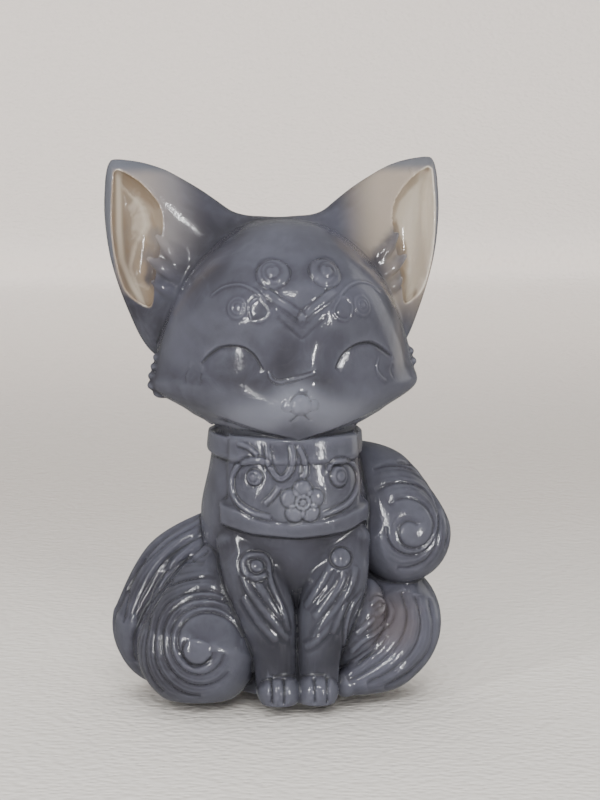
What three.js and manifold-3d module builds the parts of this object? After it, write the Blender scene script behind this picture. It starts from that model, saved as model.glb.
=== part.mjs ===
// Agate fox carving: a seated little fox with wide hollow ears, a collar with a bib, and curled tails
// all round its back, cut and polished from one piece of grey-blue agate.
// Units are millimetres. +Z is up, -Y is the fox's front, +X is on the right as it is faced,
// and the origin is on the flat underside, on the body's axis.
import * as THREE from "three";
import { LoftGeometry } from "three/addons/geometries/LoftGeometry.js";
import { mergeVertices } from "three/addons/utils/BufferGeometryUtils.js";
import Module from "manifold-3d";

const wasm = await Module();
wasm.setup();

// Driving dimensions
const BASE_CUT = 0; // height of the flat ground underside
const REACH = 60; // longer than the fox in every direction
const LEFT_EAR_SPREAD = 1.02; // the carver's left and right ear differ a little in reach
const RIGHT_EAR_SPREAD = 0.965;
const LEG_SHIFT = 0.4; // the legs stand a little to the right of the body's axis
const EYE_TURN = THREE.MathUtils.degToRad(28); // how far each eye faces sideways

const BACK = new THREE.Vector3(0, 1, 0);
const RIGHT = new THREE.Vector3(1, 0, 0);
const UP = new THREE.Vector3(0, 0, 1);

// Head and body: horizontal levels [z, half width, front y, widest y, back y, squareness].
// A squareness of 2 is an ellipse, and less than 2 pinches it to a point at the sides.
const HEAD_LEVELS = [
  [30.0, 2.6, -7.0, -4.0, -2.0, 2],
  [30.6, 6.0, -8.8, -3.2, 1.0, 1.9],
  [31.9, 8.8, -10.6, -2.2, 4.4, 1.8],
  [34.1, 11.8, -11.9, -0.8, 7.8, 1.7],
  [36.5, 15.9, -12.6, 0.2, 9.8, 1.6],
  [39.0, 15.6, -12.7, 0.8, 11.2, 1.8],
  [42.4, 14.8, -12.9, 1.2, 12.2, 1.95],
  [46.4, 13.4, -13.1, 1.4, 12.4, 2.1],
  [50.2, 11.3, -11.8, 1.4, 11.3, 2.1],
  [53.4, 8.4, -8.8, 1.4, 9.2, 2.05],
  [55.6, 4.8, -4.4, 1.4, 6.0, 2],
  [56.2, 1.6, -0.2, 1.4, 2.8, 2],
];
const BODY_LEVELS = [
  [-1, 6.5, -6.5, 1, 9, 2.2],
  [5, 7.6, -7.0, 1, 9.6, 2.2],
  [11, 8.8, -8.0, 1, 9.4, 2.2],
  [17, 9.8, -9.8, 0.5, 8.6, 2.2],
  [22, 10.0, -11.0, 0, 7.6, 2.3],
  [27, 9.0, -11.0, 0, 6.8, 2.3],
  [31.5, 8.4, -9.8, 0, 6.2, 2.3],
  [35, 8.0, -7.5, 0, 5.4, 2.3],
];

// Ear: strips across the ear from its base to its tip,
// [x and z of the upper edge, x and z of the outer edge, y of the middle, thickness].
const EAR_STRIPS = [
  [2.0, 51, 11.5, 37.5, 4.4, 10],
  [4.4, 55.8, 15.6, 40.6, 5, 9.4],
  [7.8, 58.8, 18.0, 45.4, 6, 8.2],
  [11.8, 61.3, 19.8, 51.0, 6.8, 6.6],
  [15.4, 62.7, 20.5, 56.2, 7.4, 5],
  [18.3, 63.2, 20.4, 60.4, 7.8, 3.2],
  [19.6, 63.2, 20.1, 62.3, 8, 1.4],
];
const EAR_HOLLOW_STRIPS = [
  [15.0, 46.2, 15.8, 45.8, 3.6, 2],
  [14.6, 50.2, 18.3, 47.8, 4.2, 6.6],
  [13.8, 54.2, 19.5, 52, 4.6, 7.6],
  [14.1, 57.8, 19.8, 56, 5.0, 6.6],
  [16.4, 60.6, 19.6, 59.4, 5.8, 4.2],
  [18.9, 62.1, 19.4, 61.8, 6.6, 1.2],
];

// Balls: place and radii
const MUZZLE = [[0, -6.3, 35.0], [8.8, 6.9, 4.9]];
const NOSE = [[-0.2, -13.3, 36.5], [1.2, 0.8, 0.75]];
const EYE_HOLLOW = [[7.5, -11.7, 40.4], [4.6, 2.0, 3.2]];
const EYE_LID = [[7.3, -11, 39.0], [4.3, 5, 3.9]];
const PAW = [[2.25, -10.2, 1.4], [2.6, 3.0, 2.5]];
const HAUNCH = [[8.0, -5.0, 8.2], [3.2, 4.8, 5.8]];
const HAUNCH_LEAN = 0.3; // radians

// Round bars: stations [x, y, z, radius]
const CROWN = [
  [-8.4, 5.8, 56.0, 2.0],
  [-4.3, 5.2, 53.1, 3.7],
  [0, 4.8, 52.6, 3.8],
  [4.3, 5.2, 53.1, 3.7],
  [8.4, 5.8, 56.0, 2.0],
];
const LEG = [
  [6.2, -6.0, 18.6, 3.0],
  [5.0, -7.5, 14.6, 3.7],
  [3.6, -8.6, 10.2, 3.5],
  [2.75, -9.2, 6.2, 2.7],
  [2.5, -9.4, 1.5, 2.4],
];
const TAIL_LOW_LEFT = [
  [-7.2, -1.5, 18, 1.6],
  [-8.8, -3.2, 13, 4.8],
  [-10.9, -5.1, 5.9, 7.4],
];
const TAIL_BACK_LEFT = [
  [-7.6, 3, 20.0, 1.8],
  [-11.3, 3.4, 14.0, 5.7],
  [-13.0, 3.5, 7.0, 7.7],
];
const TAIL_HIGH_RIGHT = [
  [7.2, 4.5, 27.8, 1.8],
  [11.2, 2, 24.2, 4.9],
  [14.1, -1, 18.4, 6],
];
const TAIL_LOW_RIGHT = [
  [8, 4, 15, 3.2],
  [13.4, 0.5, 8.6, 5.5],
  [11.6, -4.5, 4.2, 4.4],
  [6.4, -8.2, 1.6, 1.6],
];
const TAIL_BACK_MIDDLE = [
  [1, 6, 3, 4.5],
  [-1, 9.5, 9, 6],
  [-2, 9.5, 17, 5.4],
  [-2, 7, 24, 2.6],
];
const TAIL_BACK_RIGHT = [
  [4, 5, 17, 2.4],
  [8, 7.6, 12, 5.2],
  [9.6, 8, 6.5, 6.4],
];

// Lines carved on the face, drawn from the front: points [x, z], laid on the surface behind them.
// The left one of a pair is given, and the right one is its mirror image about the pair's middle.
const HORN_MIDDLE = 0.5;
const HORN = [
  [0.5, 45.0], [-1.2, 47.0], [-3.1, 49.2], [-4.1, 51.2], [-3.2, 52.7],
  [-1.5, 52.6], [-0.9, 51.1], [-1.9, 49.9], [-3.1, 50.6], [-2.6, 51.5],
];
const BROW_MIDDLE = 0.8;
const BROW_ARC = [[-9.5, 48.1], [-8.3, 49.4], [-6.5, 49.9], [-4.7, 49.6], [-3.5, 48.6]];
const BROW_BOSS = { place: [-6.6, 47.3], radius: 1.2, rise: 0.35 };

// Collar and bib. The bib is a plate on the chest, with a thicker hem along its lower edge.
const COLLAR_LEVELS = [
  [28.8, 9.3, -10.9, 0, 7.3, 2.3],
  [31.4, 9.1, -10.2, 0, 7.0, 2.3],
];
const BIB_MIDDLE = 0.4;
const BIB_EDGE = [[-7.4, 31.6], [-7.6, 24.4], [-8.4, 23.4], [-8.3, 21.2], [-5.2, 20.3]];
const HEM_TOP = [[-8.4, 23.4], [-6.0, 22.8], [-3.4, 22.0], [-1.2, 21.7]];
const BIB_PROUD = 0.4;
const HEM_PROUD = 0.75;
const BIB_SCROLL = [
  [-3.1, 27.9], [-4.4, 28.6], [-5.9, 28.1], [-6.8, 26.8],
  [-6.9, 25.2], [-6.2, 23.8], [-4.4, 22.9], [-2.5, 22.4],
];
const BIB_BOSS = { place: [-4.4, 26.5], radius: 0.75, rise: 0.7 };
const BIB_DROP = [
  [-3.1, 30.6], [-2.9, 28.9], [-2.2, 27.5], [-1.5, 27.1], [-0.7, 27.9], [-0.3, 29.3], [-0.5, 30.6],
];
const FLOWER = { place: [0.8, 24.3], petals: 5, petalCircle: 1.35, petalRadius: 0.95, rise: 0.75 };
const FLOWER_HEART = { radius: 0.6, rise: 1.0 };

// Fur on the legs and the haunch: flames, each as its root, its bends and its tip [x, z]
const LEG_CURL = [
  [-3.9, 16.6], [-4.9, 16.2], [-5.5, 17.1], [-4.6, 18.1], [-3.2, 17.8],
  [-2.7, 16.4], [-2.9, 14.6], [-1.9, 12.4], [-1.0, 10.2], [-0.6, 7.8],
];
const LEG_BALL = { place: [5.5, 17.1], radius: 1.0, rise: 0.6 };
const LEG_FLAMES = [
  [[-6.0, 17.0], [-5.6, 14.0], [-3.6, 11.1], [-0.8, 7.4]],
  [[-4.8, 15.2], [-3.2, 12.3], [-1.4, 10.0]],
  [[7.1, 16.0], [5.9, 13.0], [4.0, 10.5], [2.1, 8.1]],
  [[5.8, 15.6], [4.3, 13.0], [2.2, 10.7]],
  [[4.3, 16.4], [2.8, 13.9], [1.6, 11.9]],
  [[4.0, 8.7], [2.8, 7.3], [1.6, 6.3]],
];
const HAUNCH_FLAMES = [
  [[9.4, 12.3], [10.8, 11.4], [10.8, 9.9], [9.2, 10.3]],
  [[11.0, 9.0], [9.6, 6.9], [7.4, 4.7]],
  [[8.7, 12.0], [6.8, 9.4], [6.3, 6.0]],
  [[9.0, 9.3], [8.1, 8.2], [7.4, 6.8]],
];

// Locks of fur that curl about a tail's middle: the outer, a middle and the inner lock, each as
// [start angle, start radius, radius halfway, end angle, end radius], with angles in degrees
const LOW_LEFT_CURL = {
  middle: [-11.4, 6.9],
  count: 6,
  locks: [
    [81, 10.2, 6.2, 213, 6.9],
    [50, 6.7, 4.3, 290, 4.6],
    [14, 5.0, 1.9, 380, 1.1],
  ],
};
const HIGH_RIGHT_CURL = {
  middle: [13.8, 19.2],
  count: 3,
  locks: [
    [94, 7.8, 4.9, -48, 5.1],
    [113, 7.5, 3.4, -122, 4.9],
    [126, 5.1, 2.3, -360, 0.9],
  ],
};

// Locks that run side by side along the low right tail: the inner and the outer one
const LOW_RIGHT_INNER = [[13.8, 11.5], [14.4, 9.6], [13.6, 7.3], [11.6, 5.2], [8.8, 3.4]];
const LOW_RIGHT_OUTER = [[17.0, 10.2], [17.6, 7.6], [16.4, 4.6], [14.2, 2.6], [11.4, 1.2]];
const LOW_RIGHT_LOCKS = 3;

const TOE_CUTS = [-3.1, -1.4, 2.0, 3.7]; // x of the cuts between toes
const TOE_CUT_SIZE = { width: 0.3, length: 3, height: 2.2, y: -13.4, z: 0.6 };

// Fur tufts across the ear's inner edge: root and tip [x, z], for a spread of 1
const EAR_TUFTS = [
  [[11.8, 51.2], [14.6, 54.2]],
  [[12.4, 49.6], [15.6, 51.6]],
  [[13.2, 47.9], [15.1, 48.8]],
];
const TUFT_RADII = [0.9, 0.85, 0.35]; // at its root, its middle and its tip
const TUFT_RISE = [0.4, 0.8, 2.0]; // how far behind the ear's front its spine lies there
const CHEEK_FLUFF = [
  [-15.0, 0.2, 40.0], [-15.4, 0.2, 38.9], [-15.8, 0.1, 37.8], [-15.9, 0, 36.8], [-15.2, 0, 35.9],
  [15.1, 0.4, 40.4], [15.3, 0.3, 39.2],
];
const FLUFF_RADII = [1.1, 1.3, 0.62];

// A smooth value at t, from 0 to 1, through evenly spaced values
function smooth(values, t) {
  const place = t * (values.length - 1);
  const i = Math.min(Math.floor(place), values.length - 2);
  const at = (k) => values[Math.min(Math.max(k, 0), values.length - 1)];
  const [a, b, c, d] = [at(i - 1), at(i), at(i + 1), at(i + 2)];
  const f = place - i;
  return b + 0.5 * f * (c - a + f * (2 * a - 5 * b + 4 * c - d + f * (3 * (b - c) + d - a)));
}

// One smooth row at t, through a table of rows
const smoothRow = (rows, t) => rows[0].map((_, k) => smooth(rows.map((row) => row[k]), t));

// A closed geometry as a solid
function solid(geometry) {
  const bare = new THREE.BufferGeometry();
  bare.setAttribute("position", geometry.getAttribute("position"));
  bare.setIndex(geometry.index);
  const merged = mergeVertices(bare, 1e-4);
  const triVerts = new Uint32Array(merged.index.array);
  const vertProperties = merged.attributes.position.array;
  return new wasm.Manifold(new wasm.Mesh({ numProp: 3, vertProperties, triVerts }));
}

// Which way a closed ring of points faces, by the sum of its corners' cross products
function facing(ring) {
  const normal = new THREE.Vector3();
  ring.forEach((point, k) => normal.add(point.clone().cross(ring[(k + 1) % ring.length])));
  return normal;
}

// A closed solid through rings of points. The rings are turned over where they face backwards.
function loft(rings) {
  const centre = (ring) =>
    ring.reduce((sum, point) => sum.add(point), new THREE.Vector3()).divideScalar(ring.length);
  const onward = centre(rings[1]).sub(centre(rings[0]));
  if (facing(rings[0]).dot(onward) < 0) rings.forEach((ring) => ring.reverse());
  return solid(new LoftGeometry(rings, { capStart: true, capEnd: true }));
}

const fuse = (solids) => solids.reduce((sum, next) => sum.add(next));

// A point on a superellipse: cosine or sine with its power changed and its sign kept
const bulge = (value, squareness) => Math.sign(value) * Math.abs(value) ** (2 / squareness);

// A form built of horizontal levels, with its back and its front each of their own depth
function stack(levels, sides, rings) {
  const sections = Array.from({ length: rings + 1 }, (_, i) => {
    const [z, width, front, widest, back, squareness] = smoothRow(levels, i / rings);
    return Array.from({ length: sides }, (_, k) => {
      const angle = (2 * Math.PI * k) / sides;
      const across = bulge(Math.cos(angle), squareness) * width;
      const along = bulge(Math.sin(angle), squareness);
      const y = widest + along * (along > 0 ? back - widest : widest - front);
      return new THREE.Vector3(across, y, z);
    });
  });
  return loft(sections);
}

// A round bar through stations, with round ends. depth is the direction in which flat squeezes it.
// A groove of the given share of the radius follows every second side, turning by twist as it goes.
function bar(stations, options = {}) {
  const { sides = 8, steps = 8, flat = 1, depth = BACK, capRings = 2 } = options;
  const { groove = 0, twist = 0 } = options;
  const at = (t) => new THREE.Vector3(...smoothRow(stations, t).slice(0, 3));
  const heading = (t) => {
    const nudge = 0.01;
    return at(Math.min(t + nudge, 1)).sub(at(Math.max(t - nudge, 0))).normalize();
  };
  const ring = (centre, tangent, radius, turn) => {
    const side = new THREE.Vector3().crossVectors(tangent, depth).normalize();
    const thick = new THREE.Vector3().crossVectors(side, tangent);
    return Array.from({ length: sides }, (_, k) => {
      const angle = (2 * Math.PI * k) / sides + turn;
      const reach = radius * (1 - groove * (k % 2));
      return centre
        .clone()
        .addScaledVector(side, reach * Math.cos(angle))
        .addScaledVector(thick, reach * flat * Math.sin(angle));
    });
  };
  const end = (t, sign) =>
    Array.from({ length: capRings }, (_, k) => {
      const angle = ((k + 0.5) / capRings) * (Math.PI / 2);
      const radius = smoothRow(stations, t)[3];
      const centre = at(t).addScaledVector(heading(t), sign * radius * Math.cos(angle));
      return ring(centre, heading(t), radius * Math.sin(angle), twist * t);
    });
  const middle = Array.from({ length: steps + 1 }, (_, i) => {
    const t = i / steps;
    return ring(at(t), heading(t), smoothRow(stations, t)[3], twist * t);
  });
  return loft([...end(0, -1), ...middle, ...end(1, 1).reverse()]);
}

// A ball squeezed to three radii, leaned about Y, turned about Z and then moved
function egg([[x, y, z], [rx, ry, rz]], { lean = 0, turn = 0, around = 12, down = 8 } = {}) {
  const geometry = new THREE.SphereGeometry(1, around, down);
  geometry.rotateX(Math.PI / 2).scale(rx, ry, rz).rotateY(lean).rotateZ(turn).translate(x, y, z);
  return solid(geometry);
}

// An ear or its hollow: strips that run from its upper edge to its outer edge
function leaf(strips, spread, sides, rings) {
  const sections = Array.from({ length: rings + 1 }, (_, i) => {
    const [xUpper, zUpper, xOuter, zOuter, y, thickness] = smoothRow(strips, i / rings);
    return Array.from({ length: sides }, (_, k) => {
      const angle = (2 * Math.PI * k) / sides;
      const share = 0.5 - 0.5 * Math.cos(angle);
      return new THREE.Vector3(
        spread * THREE.MathUtils.lerp(xUpper, xOuter, share),
        y + 0.5 * thickness * Math.sin(angle),
        THREE.MathUtils.lerp(zUpper, zOuter, share),
      );
    });
  });
  return loft(sections);
}

// A line drawn from the front, laid on the surface: where it meets it, and which way that faces.
// The ends of a line that reach past the fox's outline are left off.
function drape(surface, line, steps) {
  const ray = new THREE.Raycaster();
  return Array.from({ length: steps + 1 }, (_, i) => {
    const [x, z] = smoothRow(line, i / steps);
    ray.set(new THREE.Vector3(x, -REACH, z), BACK);
    return ray.intersectObject(surface)[0];
  }).filter(Boolean);
}

// A low ridge along a line on the surface, thinner at its two ends
function ridge(surface, line, { width = 1, height = 0.4, steps = line.length } = {}) {
  const places = drape(surface, line, steps);
  const last = places.length - 1;
  const rings = places.map(({ point, normal }, i) => {
    const before = places[Math.max(i - 1, 0)].point;
    const after = places[Math.min(i + 1, last)].point;
    const tangent = after.clone().sub(before).normalize();
    const side = new THREE.Vector3().crossVectors(tangent, normal).normalize();
    const fade = Math.min(1, 0.35 + 2.6 * Math.min(i / last, 1 - i / last));
    const corner = (across, out) =>
      point
        .clone()
        .addScaledVector(side, across * width * fade)
        .addScaledVector(normal, out * height * fade);
    return [corner(-0.5, -1), corner(0, 1), corner(0.5, -1)];
  });
  return loft(rings);
}

// A round bead that stands half out of the surface
function bead(surface, { place: [x, z], radius, rise }) {
  const [{ point }] = drape(surface, [[x, z], [x, z]], 1);
  return egg([[x, point.y, z], [radius, rise, radius]], { around: 8, down: 4 });
}

// A line or a place and its mirror image about an upright line at x = middle
const mirrorPoint = ([x, z], middle) => [2 * middle - x, z];
const pair = (line, middle) => [line, line.map((point) => mirrorPoint(point, middle))];
const bothSides = (boss, middle) => [boss, { ...boss, place: mirrorPoint(boss.place, middle) }];

// Lines evenly spaced between a first and a last one, both included
function between(first, last, count, samples = 4) {
  return Array.from({ length: count }, (_, i) => {
    const share = i / (count - 1);
    return Array.from({ length: samples + 1 }, (_, k) => {
      const start = smoothRow(first, k / samples);
      const end = smoothRow(last, k / samples);
      return start.map((value, axis) => THREE.MathUtils.lerp(value, end[axis], share));
    });
  });
}

// Locks that curl about a middle, from the outermost to the innermost
function curl({ middle: [x, z], count, locks }, turnPerStep = 50) {
  return Array.from({ length: count }, (_, i) => {
    const [from, startRadius, halfRadius, to, endRadius] = smoothRow(locks, i / (count - 1));
    const steps = Math.round(Math.abs(to - from) / turnPerStep);
    return Array.from({ length: steps + 1 }, (_, k) => {
      const angle = THREE.MathUtils.degToRad(THREE.MathUtils.lerp(from, to, k / steps));
      const radius = smooth([startRadius, halfRadius, endRadius], k / steps);
      return [x + radius * Math.cos(angle), z + radius * Math.sin(angle)];
    });
  });
}

// A plate that follows the trunk's front, inside an outline drawn from the front
function plate(outline, thickness) {
  const swollen = BODY_LEVELS.map(([z, width, front, widest, back, squareness]) => [
    z,
    width + thickness,
    front - thickness,
    widest,
    back + thickness,
    squareness,
  ]);
  const shape = new THREE.Shape(outline.map(([x, z]) => new THREE.Vector2(x, z)));
  const sheet = new THREE.ExtrudeGeometry(shape, { depth: REACH, bevelEnabled: false });
  sheet.deleteAttribute("uv");
  sheet.deleteAttribute("normal");
  return stack(swollen, 18, 7).intersect(solid(sheet.rotateX(Math.PI / 2)));
}

// The same ball on one side of the face or the other
const sided = ([[x, y, z], radii], side) => [[side * x, y, z], radii];

function makeHead() {
  const skull = stack(HEAD_LEVELS, 24, 13);
  const crown = bar(CROWN, { sides: 8, steps: 6, depth: UP, capRings: 1 });
  const muzzle = egg(MUZZLE, { around: 16, down: 8 });
  const nose = egg(NOSE, { around: 8, down: 4 });
  const ears = [-LEFT_EAR_SPREAD, RIGHT_EAR_SPREAD].map((spread) =>
    leaf(EAR_STRIPS, spread, 12, 8).subtract(leaf(EAR_HOLLOW_STRIPS, spread, 8, 6)),
  );
  const eyeFolds = [-1, 1].map((side) => {
    const options = { turn: side * EYE_TURN, around: 14 };
    return egg(sided(EYE_HOLLOW, side), options).subtract(egg(sided(EYE_LID, side), options));
  });
  const face = fuse([skull, muzzle]).subtract(fuse(eyeFolds));
  const fluff = CHEEK_FLUFF.map((place) => egg([place, FLUFF_RADII], { around: 5, down: 3 }));
  return fuse([face, crown, nose, ...ears, ...fluff]);
}

function makeBody() {
  const trunk = stack(BODY_LEVELS, 18, 7);
  const legs = [-1, 1].map((side) => {
    const stations = LEG.map(([x, y, z, radius]) => [LEG_SHIFT + side * x, y, z, radius]);
    const [[x, y, z], radii] = PAW;
    const paw = egg([[LEG_SHIFT + side * x, y, z], radii], { around: 10, down: 6 });
    return fuse([bar(stations, { sides: 10, steps: 5 }), paw]);
  });
  const { width, length, height, y, z } = TOE_CUT_SIZE;
  const toeCuts = TOE_CUTS.map((x) =>
    solid(new THREE.BoxGeometry(width, length, height).translate(x, y, z)),
  );
  return fuse([trunk, ...legs]).subtract(fuse(toeCuts));
}

function makeTails() {
  const smoothSides = { sides: 14, steps: 4, capRings: 3 };
  const lowLeft = bar(TAIL_LOW_LEFT, smoothSides);
  const highRight = bar(TAIL_HIGH_RIGHT, smoothSides);
  const lowRight = bar(TAIL_LOW_RIGHT, { ...smoothSides, sides: 12, steps: 6 });
  const grooved = { sides: 16, steps: 3, capRings: 2, groove: 0.12 };
  const backLeft = bar(TAIL_BACK_LEFT, { ...grooved, twist: 0.3 });
  const backMiddle = bar(TAIL_BACK_MIDDLE, { ...grooved, depth: RIGHT, twist: 0.5 });
  const backRight = bar(TAIL_BACK_RIGHT, { ...grooved, twist: -0.5 });
  const haunch = egg(HAUNCH, { lean: HAUNCH_LEAN });
  return fuse([lowLeft, backLeft, highRight, lowRight, haunch, backMiddle, backRight]);
}

function makeDress() {
  const collar = stack(COLLAR_LEVELS, 18, 1);
  const [leftEdge, rightEdge] = pair(BIB_EDGE, BIB_MIDDLE);
  const [leftHem, rightHem] = pair(HEM_TOP, BIB_MIDDLE);
  const bib = [...leftEdge, ...rightEdge.reverse()];
  const lowerEdge = bib.slice(2, -2);
  const hem = [...lowerEdge, ...rightHem.slice(1), ...leftHem.slice(1).reverse()];
  return fuse([collar, plate(bib, BIB_PROUD), plate(hem, HEM_PROUD)]);
}

// Raised carving on the face: the forehead's two horns, and an arc over a round boss on each brow
function makeFaceCarving(surface) {
  const horns = pair(HORN, HORN_MIDDLE).map((line) =>
    ridge(surface, line, { width: 0.9, steps: 10 }),
  );
  const brows = pair(BROW_ARC, BROW_MIDDLE).map((line) =>
    ridge(surface, line, { width: 0.7, height: 0.3, steps: 4 }),
  );
  const bosses = bothSides(BROW_BOSS, BROW_MIDDLE).map((boss) => bead(surface, boss));
  return fuse([...horns, ...brows, ...bosses]);
}

function makeTufts(surface) {
  const tufts = [-LEFT_EAR_SPREAD, RIGHT_EAR_SPREAD].flatMap((spread) =>
    EAR_TUFTS.map((tuft) => {
      const [root, tip] = tuft.map(([x, z]) => [spread * x, z]);
      const [{ point }] = drape(surface, [root, root], 1);
      const stations = TUFT_RADII.map((radius, i) => {
        const [x, z] = smoothRow([root, tip], i / (TUFT_RADII.length - 1));
        return [x, point.y + TUFT_RISE[i], z, radius];
      });
      return bar(stations, { sides: 5, steps: 2, capRings: 1, flat: 1.2 });
    }),
  );
  return fuse(tufts);
}

// Raised carving on the bib: scrolls with bosses, a hanging drop and a flower
function makeBibCarving(surface) {
  const scrolls = pair(BIB_SCROLL, BIB_MIDDLE).map((line) =>
    ridge(surface, line, { width: 0.8, steps: line.length - 1 }),
  );
  const drop = ridge(surface, BIB_DROP, { width: 0.7, height: 0.35, steps: BIB_DROP.length - 1 });
  const bosses = bothSides(BIB_BOSS, BIB_MIDDLE).map((boss) => bead(surface, boss));
  const { place, petals, petalCircle, petalRadius, rise } = FLOWER;
  const flower = Array.from({ length: petals }, (_, k) => {
    const angle = Math.PI / 2 + (2 * Math.PI * k) / petals;
    const x = place[0] + petalCircle * Math.cos(angle);
    const z = place[1] + petalCircle * Math.sin(angle);
    return bead(surface, { place: [x, z], radius: petalRadius, rise });
  });
  const heart = bead(surface, { place, ...FLOWER_HEART });
  return fuse([...scrolls, drop, ...bosses, ...flower, heart]);
}

function makeLegCarving(surface) {
  const leadingCurl = ridge(surface, LEG_CURL, { width: 0.8, steps: 9 });
  const flames = [...LEG_FLAMES, ...HAUNCH_FLAMES].map((line) =>
    ridge(surface, line, { width: 0.8, steps: line.length - 1 }),
  );
  return fuse([leadingCurl, bead(surface, LEG_BALL), ...flames]);
}

function makeTailCarving(surface) {
  const sideBySide = between(LOW_RIGHT_INNER, LOW_RIGHT_OUTER, LOW_RIGHT_LOCKS);
  const locks = [...curl(LOW_LEFT_CURL), ...curl(HIGH_RIGHT_CURL), ...sideBySide];
  return fuse(
    locks.map((line) => ridge(surface, line, { width: 1.1, steps: line.length - 1 })),
  );
}

// Everything below the ground plane is cut away, which leaves the flat underside
function groundFlat(form) {
  const block = new THREE.BoxGeometry(REACH, REACH, REACH);
  block.translate(0, 0, BASE_CUT - REACH / 2);
  return form.subtract(solid(block));
}

function meshOf(form, name, material) {
  const { vertProperties, triVerts } = form.getMesh();
  const geometry = new THREE.BufferGeometry();
  geometry.setAttribute("position", new THREE.BufferAttribute(vertProperties, 3));
  geometry.setIndex(new THREE.BufferAttribute(triVerts, 1));
  geometry.computeVertexNormals();
  const mesh = new THREE.Mesh(geometry, material);
  mesh.name = name;
  return mesh;
}

const agate = new THREE.MeshStandardMaterial({ color: 0x5c6068, roughness: 0.15, metalness: 0 });
const rough = fuse([makeHead(), makeBody(), makeTails(), makeDress()]);
const surface = meshOf(rough, "rough", agate);
const carving = [makeFaceCarving, makeTufts, makeBibCarving, makeLegCarving, makeTailCarving];
const form = groundFlat(fuse([rough, ...carving.map((make) => make(surface))]));

const fox = new THREE.Group();
fox.add(meshOf(form, "agate_fox", agate));
export default fox;
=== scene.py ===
# %% [markdown]
# # A little fox carved from grey-blue agate
# The real figure is one stone, about six centimetres tall. It was sawn, ground, carved with small
# diamond burrs and polished until it shines like glass. It is translucent, so its thin parts,
# the ears above all, let warm light through, while its thick parts look dark.
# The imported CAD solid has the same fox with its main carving. Here a finer skin takes its place:
# round forms are fused into one surface, the carving is pressed into it, and a stone material
# reads how thick and how deeply carved each spot is.

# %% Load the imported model
import math

import bmesh
import bpy
import numpy as np
from mathutils import Matrix, Vector
from mathutils.bvhtree import BVHTree


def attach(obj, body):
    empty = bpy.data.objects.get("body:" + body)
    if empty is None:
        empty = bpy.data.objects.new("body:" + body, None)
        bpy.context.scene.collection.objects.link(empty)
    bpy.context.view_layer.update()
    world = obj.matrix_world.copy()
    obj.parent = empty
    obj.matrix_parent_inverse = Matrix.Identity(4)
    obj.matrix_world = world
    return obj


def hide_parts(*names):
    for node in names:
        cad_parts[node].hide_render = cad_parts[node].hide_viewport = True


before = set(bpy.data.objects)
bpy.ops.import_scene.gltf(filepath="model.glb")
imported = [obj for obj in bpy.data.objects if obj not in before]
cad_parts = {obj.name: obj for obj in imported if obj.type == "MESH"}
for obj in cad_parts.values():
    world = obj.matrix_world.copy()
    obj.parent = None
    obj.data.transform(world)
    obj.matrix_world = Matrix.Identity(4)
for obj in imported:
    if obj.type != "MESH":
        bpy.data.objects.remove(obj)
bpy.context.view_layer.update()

MM = 0.001  # the fox is shaped in millimetres, and brought to metres when it is whole
BACK = Vector((0, 1, 0))
UP = Vector((0, 0, 1))
RIGHT = Vector((1, 0, 0))
REACH = 60.0  # longer than the fox in every direction

# %% [markdown]
# ## The forms of the fox, as tables
# A carver thinks in a few big forms first: a ball for the head, a cone for the body, bars that
# swell towards one end for the tails. Each is a table here, of levels, strips or stations, and
# a smooth curve runs through its rows. The big forms have the CAD part's own values, and the
# collar, the ear tufts and the cheek fluff have their own, because this skin can be rounder.

# %% Head and body: levels [z, half width, front y, widest y, back y, squareness]
HEAD_LEVELS = [
    [30.0, 2.6, -7.0, -4.0, -2.0, 2],
    [30.6, 6.0, -8.8, -3.2, 1.0, 1.9],
    [31.9, 8.8, -10.6, -2.2, 4.4, 1.8],
    [34.1, 11.8, -11.9, -0.8, 7.8, 1.7],
    [36.5, 15.9, -12.6, 0.2, 9.8, 1.6],
    [39.0, 15.6, -12.7, 0.8, 11.2, 1.8],
    [42.4, 14.8, -12.9, 1.2, 12.2, 1.95],
    [46.4, 13.4, -13.1, 1.4, 12.4, 2.1],
    [50.2, 11.3, -11.8, 1.4, 11.3, 2.1],
    [53.4, 8.4, -8.8, 1.4, 9.2, 2.05],
    [55.6, 4.8, -4.4, 1.4, 6.0, 2],
    [56.2, 1.6, -0.2, 1.4, 2.8, 2],
]
BODY_LEVELS = [
    [-1, 6.5, -6.5, 1, 9, 2.2],
    [5, 7.6, -7.0, 1, 9.6, 2.2],
    [11, 8.8, -8.0, 1, 9.4, 2.2],
    [17, 9.8, -9.8, 0.5, 8.6, 2.2],
    [22, 10.0, -11.0, 0, 7.6, 2.3],
    [27, 9.0, -11.0, 0, 6.8, 2.3],
    [31.5, 8.4, -9.8, 0, 6.2, 2.3],
    [35, 8.0, -7.5, 0, 5.4, 2.3],
]
COLLAR_LEVELS = [
    [28.8, 9.0, -10.8, 0, 7.2, 2.3],
    [29.2, 9.3, -10.9, 0, 7.3, 2.3],
    [31.4, 9.1, -10.2, 0, 7.0, 2.3],
]

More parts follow.
